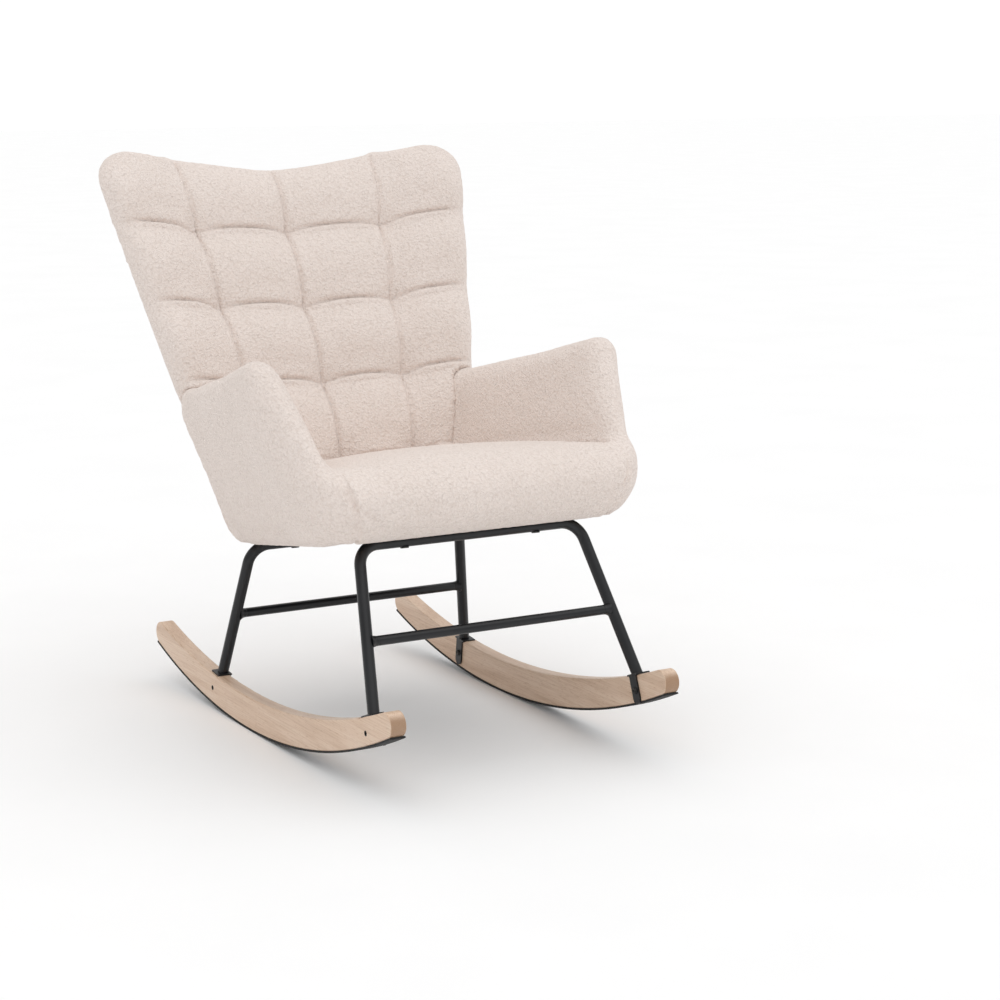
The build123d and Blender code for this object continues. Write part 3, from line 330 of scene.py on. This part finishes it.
# Seat cushion: one block of foam over the webbing with a wadding layer, wrapped in cream cloth with a short
# looped pile. It rolls over the front rail and is tucked between the arms and under the back.
teddy, tree, shader = new_material("cream_looped_pile")
place = tree.nodes.new("ShaderNodeTexCoord")
wobble = tree.nodes.new("ShaderNodeTexNoise")
wobble.inputs["Scale"].default_value = 150.0
wobble.inputs["Detail"].default_value = 2.0
shift = tree.nodes.new("ShaderNodeVectorMath")
shift.operation = "MULTIPLY_ADD"
shift.inputs[1].default_value = (0.006, 0.006, 0.006)
tree.links.new(place.outputs["Object"], wobble.inputs["Vector"])
tree.links.new(wobble.outputs["Color"], shift.inputs[0])
tree.links.new(place.outputs["Object"], shift.inputs[2])
curls = tree.nodes.new("ShaderNodeTexVoronoi")
curls.feature = "SMOOTH_F1"
curls.inputs["Scale"].default_value = 265.0
curls.inputs["Smoothness"].default_value = 0.6
tree.links.new(shift.outputs["Vector"], curls.inputs["Vector"])
loops = curls.outputs["Distance"]
tufts = stretched_noise(tree, (1.0, 1.0, 1.0), 170.0, detail=3.0, rough=0.6)
blush = stretched_noise(tree, (1.0, 1.0, 1.0), 9.0, detail=3.0)
# The cream is the cloth's own colour. Where the curls' bump sits lowest, between the loops, it darkens:
# this is painted shade in the pile's hollows. The slight darkening over the low parts of the tufts is
# painted shade too.
pile_and_hollow_shade_tones = [(0.08, (0.91, 0.818, 0.766)), (0.45, (0.87, 0.773, 0.719)), (0.85, (0.79, 0.688, 0.629))]
pile = ramp(tree, loops, pile_and_hollow_shade_tones)
shade = ramp(tree, tufts, [(0.30, (0.965, 0.96, 0.955)), (0.60, (1.0, 1.0, 1.0))])
tone = ramp(tree, blush, [(0.3, (0.97, 0.965, 0.96)), (0.7, (1.0, 1.0, 1.0))])
shaded = mixed(tree, 1.0, pile, shade, "MULTIPLY")
tree.links.new(mixed(tree, 1.0, shaded, tone, "MULTIPLY"), shader.inputs["Base Color"])
shader.inputs["Roughness"].default_value = 0.95
shader.inputs["Specular IOR Level"].default_value = 0.15
shader.inputs["Sheen Weight"].default_value = 0.35
shader.inputs["Sheen Roughness"].default_value = 0.45
shader.inputs["Sheen Tint"].default_value = (1.0, 0.95, 0.90, 1.0)
flat_curls = tree.nodes.new("ShaderNodeMath")
flat_curls.operation = "SUBTRACT"
flat_curls.inputs[0].default_value = 1.0
tree.links.new(loops, flat_curls.inputs[1])
raised(tree, shader, [(tufts, 0.5, 0.003), (flat_curls.outputs["Value"], 0.7, 0.003)])


def points_of(mesh):
    """A mesh's points as an array."""
    flat = np.empty(len(mesh.vertices) * 3, np.float64)
    mesh.vertices.foreach_get("co", flat)
    return flat.reshape(-1, 3)


def set_points(mesh, points):
    """Write an array of points back to a mesh."""
    mesh.vertices.foreach_set("co", np.ascontiguousarray(points, np.float32).ravel())
    mesh.update()


def normals_of(mesh):
    """A mesh's point normals as an array."""
    flat = np.empty(len(mesh.vertices) * 3, np.float64)
    mesh.vertex_normals.foreach_get("vector", flat)
    return flat.reshape(-1, 3)


def evaluated(piece):
    """The mesh that a piece's modifiers give."""
    return bpy.data.meshes.new_from_object(piece.evaluated_get(bpy.context.evaluated_depsgraph_get()))


def soft_copy(node, name):
    """A soft piece that starts as its CAD solid."""
    piece = bpy.data.objects.new(name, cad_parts[node].data.copy())
    bpy.context.scene.collection.objects.link(piece)
    piece.data.materials.clear()
    return piece


def made_even(piece, voxel):
    """Divide a soft piece into even squares and cover it with the cloth."""
    even = piece.modifiers.new("even", "REMESH")
    even.mode = "VOXEL"
    even.voxel_size = voxel
    piece.data, rough = evaluated(piece), piece.data
    bpy.data.meshes.remove(rough)
    piece.modifiers.clear()
    piece.data.materials.append(teddy)


def even_copy(node, name, voxel):
    """A soft piece that starts as its CAD solid, divided into even squares."""
    piece = soft_copy(node, name)
    made_even(piece, voxel)
    return piece


def hold_near(points, node, near, far):
    """1 where a point is tucked against another piece, fading to 0 away from all of them."""
    corners, faces = [], []
    low, high = points.min(0) - far, points.max(0) + far
    for other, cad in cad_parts.items():
        if other == node:
            continue
        spots = points_of(cad.data)
        if (spots.max(0) < low).any() or (spots.min(0) > high).any():
            continue
        base = len(corners)
        corners.extend(spots.tolist())
        faces.extend([tuple(base + corner for corner in face.vertices) for face in cad.data.polygons])
    around = BVHTree.FromPolygons(corners, faces)
    gaps = np.array([around.find_nearest(point, far)[3] or far for point in points.tolist()], float)
    return np.clip((far - gaps) / (far - near), 0.0, 1.0)


def eased(mesh, moved, held, rounds):
    """Even out how far the points of a mesh move, so that the foam below hides small creases."""
    ends = np.empty(len(mesh.edges) * 2, np.int64)
    mesh.edges.foreach_get("vertices", ends)
    here, there = np.concatenate([ends[0::2], ends[1::2]]), np.concatenate([ends[1::2], ends[0::2]])
    count = np.maximum(np.bincount(here, minlength=len(moved)), 1)
    for _ in range(rounds):
        around = [np.bincount(here, moved[there, axis], len(moved)) / count for axis in range(3)]
        moved = moved + (np.stack(around, 1) - moved) * (0.6 * (1 - held))[:, None]
    return moved


def step_up(value, low, high):
    """A smooth rise from 0 at low to 1 at high."""
    share = np.clip((value - low) / (high - low), 0.0, 1.0)
    return share * share * (3 - 2 * share)


def stuffed(piece, held, pressure, most, slack):
    """Blow a soft piece up against its cover with a cloth simulation, each point moving at most so far."""
    mesh = piece.data
    start = points_of(mesh)
    set_points(mesh, start - normals_of(mesh) * (slack * (1 - held))[:, None])
    group = piece.vertex_groups.new(name="held")
    for weight in np.unique(np.round(held, 2)):
        group.add(np.nonzero(np.round(held, 2) == weight)[0].tolist(), float(weight), "REPLACE")
    cloth = piece.modifiers.new("cover", "CLOTH")
    cloth.settings.quality = 2
    cloth.settings.mass = 0.3
    cloth.settings.tension_stiffness = 15.0
    cloth.settings.compression_stiffness = 15.0
    cloth.settings.shear_stiffness = 8.0
    cloth.settings.bending_stiffness = 4.0
    cloth.settings.use_pressure = True
    cloth.settings.uniform_pressure_force = pressure
    cloth.settings.effector_weights.gravity = 0.0
    cloth.settings.vertex_group_mass = "held"
    cloth.collision_settings.use_collision = False
    cloth.point_cache.frame_start = 1
    cloth.point_cache.frame_end = 16
    for step in range(1, 17):
        bpy.context.scene.frame_set(step)
    blown = evaluated(piece)
    before = points_of(mesh)
    moved = points_of(blown) - before
    length = np.maximum(np.linalg.norm(moved, axis=1), 1e-9)
    moved *= (most * np.tanh(length / most) / length * (1 - held))[:, None]
    moved = eased(mesh, moved, held, 12)
    piece.modifiers.clear()
    piece.vertex_groups.clear()
    bpy.data.meshes.remove(blown)
    bpy.context.scene.frame_set(1)
    set_points(mesh, before + moved)
    fine = piece.modifiers.new("fine", "SUBSURF")
    fine.levels = 1
    fine.render_levels = 1
    piece.data, coarse = evaluated(piece), mesh
    bpy.data.meshes.remove(coarse)
    piece.modifiers.clear()
    piece.data.polygons.foreach_set("use_smooth", [True] * len(piece.data.polygons))


def tufted_pile(piece, height=0.0005, size=130.0):
    """Small lumps in the pile, as real shape on top of the bump in the cloth."""
    points = points_of(piece.data)
    lumps = np.array([noise.noise(Vector(point) * size) for point in points.tolist()])
    set_points(piece.data, points + normals_of(piece.data) * (lumps * height)[:, None])


seat = even_copy("seat_cushion", "seat_cushion_cover", 0.006)
held = hold_near(points_of(seat.data), "seat_cushion", 0.004, 0.022)
stuffed(seat, held, pressure=4.0, most=0.010, slack=0.005)
tufted_pile(seat)
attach(seat, "root")
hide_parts("seat_cushion")


# Arms: a plywood panel each, padded all round and covered with the same cloth, which runs on round the
# front corner beside the seat's roll. They lean outwards and are bolted to the side rails.
for side in ("left", "right"):
    arm = even_copy(f"{side}_arm_pad", f"{side}_arm_cover", 0.006)
    points = points_of(arm.data)
    _, q, h, outside = seat_axes(points)
    toe = (1 - step_up(q, -0.20, -0.13)) * (1 - step_up(h, 0.06, 0.12)) * step_up(outside, 0.012, 0.030)
    set_points(arm.data, eased(arm.data, points, 1 - toe, 45))
    held = hold_near(points_of(arm.data), f"{side}_arm_pad", 0.004, 0.020)
    stuffed(arm, held, pressure=4.0, most=0.007, slack=0.004)
    tufted_pile(arm)
    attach(arm, "root")
    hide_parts(f"{side}_arm_pad")


# Front joins: round the roll the seat's cloth runs on into the arms' cloth, sewn together from inside over
# wadding. Half way down the seam draws in to a soft crease, which runs on inwards below the roll.
roll_middle_q, roll_middle_h, roll_reach = -0.195, 0.052, 0.16
join_turns, join_columns, join_half, join_fade = 80, 45, 0.022, 0.15
join_start, join_end = math.radians(2.0), math.radians(160.0)
crease_start, crease_length, crease_depth = math.radians(48.0), math.radians(71.0), 0.0026
wadding = 0.004


def crease(turn, outside):
    """Depth of the crease at a turn round the roll and a distance outside the arm's inner plane."""
    along = (turn - crease_start) / crease_length
    line = 0.0184 - 0.0117 * along - 0.041 * along**2
    steep = (0.0117 + 0.082 * along) / 0.084
    gap = (outside - line) / np.sqrt(1 + steep**2)
    return crease_depth * np.exp(-((gap / 0.0045) ** 2)) * np.exp(-(((along - 0.7) / 0.42) ** 2))


points = points_of(seat.data)
_, q, h, outside = seat_axes(points)
drawn_in = crease(np.arctan2(roll_middle_q - q, h - roll_middle_h), outside)
set_points(seat.data, points - normals_of(seat.data) * drawn_in[:, None])


def slid(heights, axis, size, pick):
    """The highest or lowest value within a few steps along one axis of a grid."""
    width = [(0, 0), (0, 0)]
    width[axis] = (size, size)
    padded = np.pad(heights, width, mode="edge")
    count = heights.shape[axis]
    return pick([np.take(padded, range(step, step + count), axis) for step in range(2 * size + 1)], axis=0)


def smoothed(heights, axis, size):
    """A grid averaged along one axis."""
    return slid(slid(heights, axis, size, np.mean), axis, size, np.mean)


def surface_tree(piece):
    """A piece's surface, to cast rays on."""
    faces = [tuple(face.vertices) for face in piece.data.polygons]
    return BVHTree.FromPolygons(points_of(piece.data).tolist(), faces)


turns = np.linspace(join_start, join_end, join_turns)
columns = np.linspace(-join_half, join_half, join_columns)
seat_surface = surface_tree(seat)
for side, sign in (("left", -1.0), ("right", 1.0)):
    surfaces = [seat_surface, surface_tree(bpy.data.objects[f"{side}_arm_cover"])]
    middle_x = arm_inner_x + arm_lean * roll_middle_h - arm_splay * roll_middle_q
    spokes = []
    for turn in turns:
        ahead, above = math.sin(turn), math.cos(turn)
        sideways = sign * (arm_lean * above + arm_splay * ahead)
        spokes.append(seat_up * above - seat_back * ahead + np.array([sideways, 0, 0]))
    centres = []
    for column in columns:
        middle = seat_origin + seat_back * roll_middle_q + seat_up * roll_middle_h
        out = column * math.sqrt(1 + arm_lean**2 + arm_splay**2)
        centres.append(middle + np.array([sign * (middle_x + out), 0, 0]))
    found = np.zeros((join_turns, join_columns))
    for row, spoke in enumerate(spokes):
        length = np.linalg.norm(spoke)
        for column, centre in enumerate(centres):
            start = Vector(centre + spoke * roll_reach)
            for surface in surfaces:
                gap = surface.ray_cast(start, Vector(-spoke), roll_reach * length)[3]
                if gap is not None:
                    found[row, column] = max(found[row, column], roll_reach - gap / length)
    filled = slid(slid(found, 1, 14, np.max), 1, 14, np.min)
    filled = smoothed(smoothed(filled, 1, 2), 0, 2)
    across = 1 - step_up(np.abs(columns), 0.6 * join_half, 0.95 * join_half)
    along = step_up(turns, join_start, join_start + join_fade)
    along = along * (1 - step_up(turns, join_end - join_fade, join_end))
    shown = along[:, None] * across[None, :]
    sunk = np.minimum(slid(found, 1, 1, np.min), filled) - 0.003
    outer = sunk + (filled - crease(turns[:, None], columns[None, :]) - sunk) * shown
    points = []
    for depth in (0.0, wadding):
        for row, spoke in enumerate(spokes):
            for column, centre in enumerate(centres):
                points.append(centre + spoke * (outer[row, column] - depth))
    layer = join_turns * join_columns
    faces = []
    for row in range(join_turns - 1):
        for column in range(join_columns - 1):
            first = row * join_columns + column
            quad = (first, first + 1, first + join_columns + 1, first + join_columns)
            faces.append(quad)
            faces.append(tuple(corner + layer for corner in reversed(quad)))
    rim = [column for column in range(join_columns)]
    rim += [row * join_columns + join_columns - 1 for row in range(1, join_turns)]
    rim += [(join_turns - 1) * join_columns + column for column in range(join_columns - 2, -1, -1)]
    rim += [row * join_columns for row in range(join_turns - 2, 0, -1)]
    for here, there in zip(rim, rim[1:] + rim[:1]):
        faces.append((there, here, here + layer, there + layer))
    if sign > 0:
        faces = [face[::-1] for face in faces]
    join = new_piece(f"{side}_front_join", points, faces, teddy)
    fine = join.modifiers.new("fine", "SUBSURF")
    fine.levels = 1
    fine.render_levels = 1
    join.data, coarse = evaluated(join), join.data
    bpy.data.meshes.remove(coarse)
    join.modifiers.clear()
    tufted_pile(join)
    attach(join, "root")


# The pads press on one another where they meet, so the padding is drawn against its neighbour's cover there
# and no gap shows between them.
def pressed(piece, neighbours, reach, left):
    """Draw the faces of a soft piece that look at its neighbours up to them, leaving a small gap."""
    mesh = piece.data
    points, normals = points_of(mesh), normals_of(mesh)
    moved = np.zeros_like(points)
    for neighbour in neighbours:
        surface = surface_tree(neighbour)
        around = points_of(neighbour.data)
        inside = ((points > around.min(0) - reach) & (points < around.max(0) + reach)).all(1)
        for index in np.nonzero(inside)[0]:
            spot, _, _, gap = surface.find_nearest(points[index].tolist(), reach)
            if spot is None or gap <= left:
                continue
            toward = (np.array(spot) - points[index]) / gap
            share = step_up(toward @ normals[index], 0.1, 0.6) * (1 - step_up(gap, 0.6 * reach, reach))
            moved[index] += toward * ((gap - left) * share)
    set_points(mesh, points + eased(mesh, moved, np.zeros(len(points)), 3))


# Back: foam on the curved board, covered with cream cloth that is sewn down along a grid of seams, so that
# it puffs up in pillows, four across and five high. The outer pillows run round the edge into the sides.
back_turn = math.radians(28.9)
back_origin = seat_origin + seat_back * 0.283 + seat_up * 0.1256
back_up = np.array([0.0, math.sin(back_turn), math.cos(back_turn)])
back_out = np.array([0.0, -math.cos(back_turn), math.sin(back_turn)])
back_half_width, back_flare, back_curve = 0.268, 0.178, 0.880
seam_rows = [0.0, 0.149, 0.298, 0.447]
seam_columns = [-0.53, 0.0, 0.53]
row_edges = np.array([-0.116] + seam_rows + [0.585])
column_edges = np.array([-1.0] + seam_columns + [1.0])
pillow_crown, seam_arch = 0.018, 0.008
pillow_puff, seam_slack, crossing_pinch = 0.006, 0.008, 0.006
row_fold, column_fold = 0.0055, 0.0075


def back_axes(points):
    """Height s up the back, share u of its half width, and depth n in front of its seams."""
    away = points - back_origin
    s = away @ back_up
    u = points[:, 0] / (back_half_width + back_flare * s)
    bent = back_curve - np.sqrt(np.maximum(back_curve**2 - points[:, 0] ** 2, 0.01))
    return s, u, away @ back_out - bent


def arch_between(values, edges):
    """An arch over each interval between edges: 0 at the edges and 1 half way."""
    place = np.clip(np.searchsorted(edges, values, side="right") - 1, 0, len(edges) - 2)
    share = (values - edges[place]) / (edges[place + 1] - edges[place])
    return np.sin(np.pi * np.clip(share, 0.0, 1.0))


def row_arch(s, u, arch):
    """How far the row seams rise over each pillow; the lowest row, which the arms hold down, rises less."""
    return arch * arch_between(u, column_edges) * (0.3 + 0.7 * step_up(s, 0.02, 0.10))


def seam_gaps(s, u, arch):
    """Distance to the nearest row seam, which may rise in arches, and to the nearest column seam."""
    wide = back_half_width + back_flare * s
    lifted = s - row_arch(s, u, arch)
    rows = np.min([np.abs(lifted - row) for row in seam_rows], axis=0)
    columns = np.min([np.abs(u - column) * wide for column in seam_columns], axis=0)
    return rows, columns


def pillow(s, u):
    """How far a pillow of the back stands out."""
    return pillow_crown * arch_between(s, row_edges) * arch_between(u, column_edges)


back = even_copy("back_pad", "back_cover", 0.005)
points = points_of(back.data)
points = eased(back.data, points, step_up(back_axes(points)[2], -0.045, -0.025), 8)
set_points(back.data, points)
s, u, n = back_axes(points)
rows, columns = seam_gaps(s, u, 0.0)
front = np.clip((n + 0.012) / 0.010, 0.0, 1.0)
sewn = np.clip(1.5 - np.minimum(rows, columns) / 0.006, 0.0, 1.0) * front
held = np.maximum(hold_near(points, "back_pad", 0.004, 0.016), sewn)
stuffed(back, held, pressure=6.0, most=0.012, slack=0.003)

points = points_of(back.data)
s, u, n = back_axes(points)
rows, columns = seam_gaps(s, u, seam_arch)
front = np.clip((n + 0.016) / 0.012, 0.0, 1.0)
over_rows, over_columns = arch_between(u, column_edges) ** 2, arch_between(s, row_edges) ** 2
lifted = pillow(s - row_arch(s, u, seam_arch), u) - pillow(s, u)
along_rows = row_fold * np.exp(-((rows / 0.0042) ** 2))
along_columns = column_fold * np.exp(-((columns / 0.0048) ** 2))
fold = np.maximum(along_rows, along_columns)
fold *= 1 - step_up(np.abs(u), 0.62, 0.80) * (1 - step_up(s, 0.03, 0.08))
pinch = np.exp(-((rows**2 + columns**2) / 0.016**2))
puff = np.sqrt(np.clip(rows / 0.055, 0, 1) * np.clip(columns / 0.055, 0, 1))
loose = over_rows * np.exp(-((rows / 0.022) ** 2)) + over_columns * np.exp(-((columns / 0.022) ** 2))
edge = 1 - 0.7 * step_up(np.abs(u), 0.82, 1.0)
rise = (pillow_puff * puff - fold) * edge + seam_slack * loose - crossing_pinch * pinch
shape = back_out * (lifted * front)[:, None] + normals_of(back.data) * (rise * front)[:, None]
set_points(back.data, points + shape)
arms = [bpy.data.objects["left_arm_cover"], bpy.data.objects["right_arm_cover"]]
pressed(back, arms + [seat], reach=0.016, left=0.0008)
tufted_pile(back)
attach(back, "root")
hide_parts("back_pad")


# Rear cover: a panel of the same cloth over thin wadding, which closes the back of the chair inside the
# padded rim. Its edge is turned in and tacked.
panel_curve, panel_inner_depth, panel_wadding = 0.940, 0.0585, 0.008
panel_tuck, panel_top_tuck, panel_turn_in = 0.010, 0.006, 0.002
cover = soft_copy("back_rear_cover", "back_rear_panel")
points = points_of(cover.data)
ahead = back_curve - (points - back_origin) @ back_out
inner_side = np.hypot(ahead, points[:, 0]) - back_curve < panel_inner_depth
wider = points[:, 0] * (1 + panel_tuck / back_half_width)
forward = np.sqrt(panel_curve**2 - points[:, 0] ** 2) - np.sqrt(panel_curve**2 - wider**2)
higher = panel_top_tuck * step_up(back_axes(points)[0], 0.38, 0.50)
points = points + back_out * (forward + panel_wadding * inner_side)[:, None] + back_up * higher[:, None]
points[:, 0] = wider
set_points(cover.data, points)
made_even(cover, 0.006)
points = points_of(cover.data)
turned_in = panel_turn_in * step_up(np.abs(back_axes(points)[1]), 0.84, 0.91)
set_points(cover.data, points + back_out * turned_in[:, None])
held = hold_near(points_of(cover.data), "back_rear_cover", 0.004, 0.030)
stuffed(cover, held, pressure=2.0, most=0.004, slack=0.0015)
tufted_pile(cover)
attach(cover, "root")
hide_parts("back_rear_cover")


# Studio: a pale seamless floor, one broad soft light from above and a white room. The
# camera stands in front on the chair's right hand, a little above the arms.
floor_paint, tree, shader = new_material("pale_floor")
mottle = stretched_noise(tree, (1.0, 1.0, 1.0), 3.0, detail=4.0)
varied(tree, shader, "Base Color", mottle, [(0.3, (0.95, 0.95, 0.95)), (0.7, (0.97, 0.97, 0.97))])
shader.inputs["Roughness"].default_value = 0.9
floor_half, floor_z = 30.0, -0.0005
floor_corners = [(x * floor_half, y * floor_half, floor_z) for x, y in ((-1, -1), (1, -1), (1, 1), (-1, 1))]
floor = new_piece("floor", floor_corners, [(0, 1, 2, 3)], floor_paint)

room = bpy.data.worlds.new("white_room")
room.use_nodes = True
air = room.node_tree
seen = air.nodes.new("ShaderNodeLightPath")
backdrop = air.nodes.new("ShaderNodeBackground")
backdrop.inputs["Color"].default_value = (1.0, 1.0, 1.0, 1.0)
backdrop.inputs["Strength"].default_value = 1.05
glow = air.nodes["Background"]
glow.inputs["Color"].default_value = (1.0, 1.0, 1.0, 1.0)
glow.inputs["Strength"].default_value = 0.68
either = air.nodes.new("ShaderNodeMixShader")
air.links.new(seen.outputs["Is Camera Ray"], either.inputs["Fac"])
air.links.new(glow.outputs["Background"], either.inputs[1])
air.links.new(backdrop.outputs["Background"], either.inputs[2])
air.links.new(either.outputs["Shader"], air.nodes["World Output"].inputs["Surface"])
bpy.context.scene.world = room
bpy.context.scene.view_settings.view_transform = "Standard"

softbox = bpy.data.lights.new("softbox", "SUN")
softbox.energy = 1.18
softbox.angle = math.radians(95.0)
holder = bpy.data.objects.new("softbox", softbox)
holder.rotation_euler = Vector((-0.08, 0.12, -1.0)).to_track_quat("-Z", "Y").to_euler()
bpy.context.scene.collection.objects.link(holder)

lens = bpy.data.cameras.new("camera")
lens.lens = 84.8
lens.sensor_width = 36.0
camera = bpy.data.objects.new("camera", lens)
camera.location = (-1.830, -3.5515, 1.140)
aim = Vector((0.151, -0.1185, 0.384))
camera.rotation_euler = (aim - camera.location).to_track_quat("-Z", "Y").to_euler()
bpy.context.scene.collection.objects.link(camera)
bpy.context.scene.camera = camera
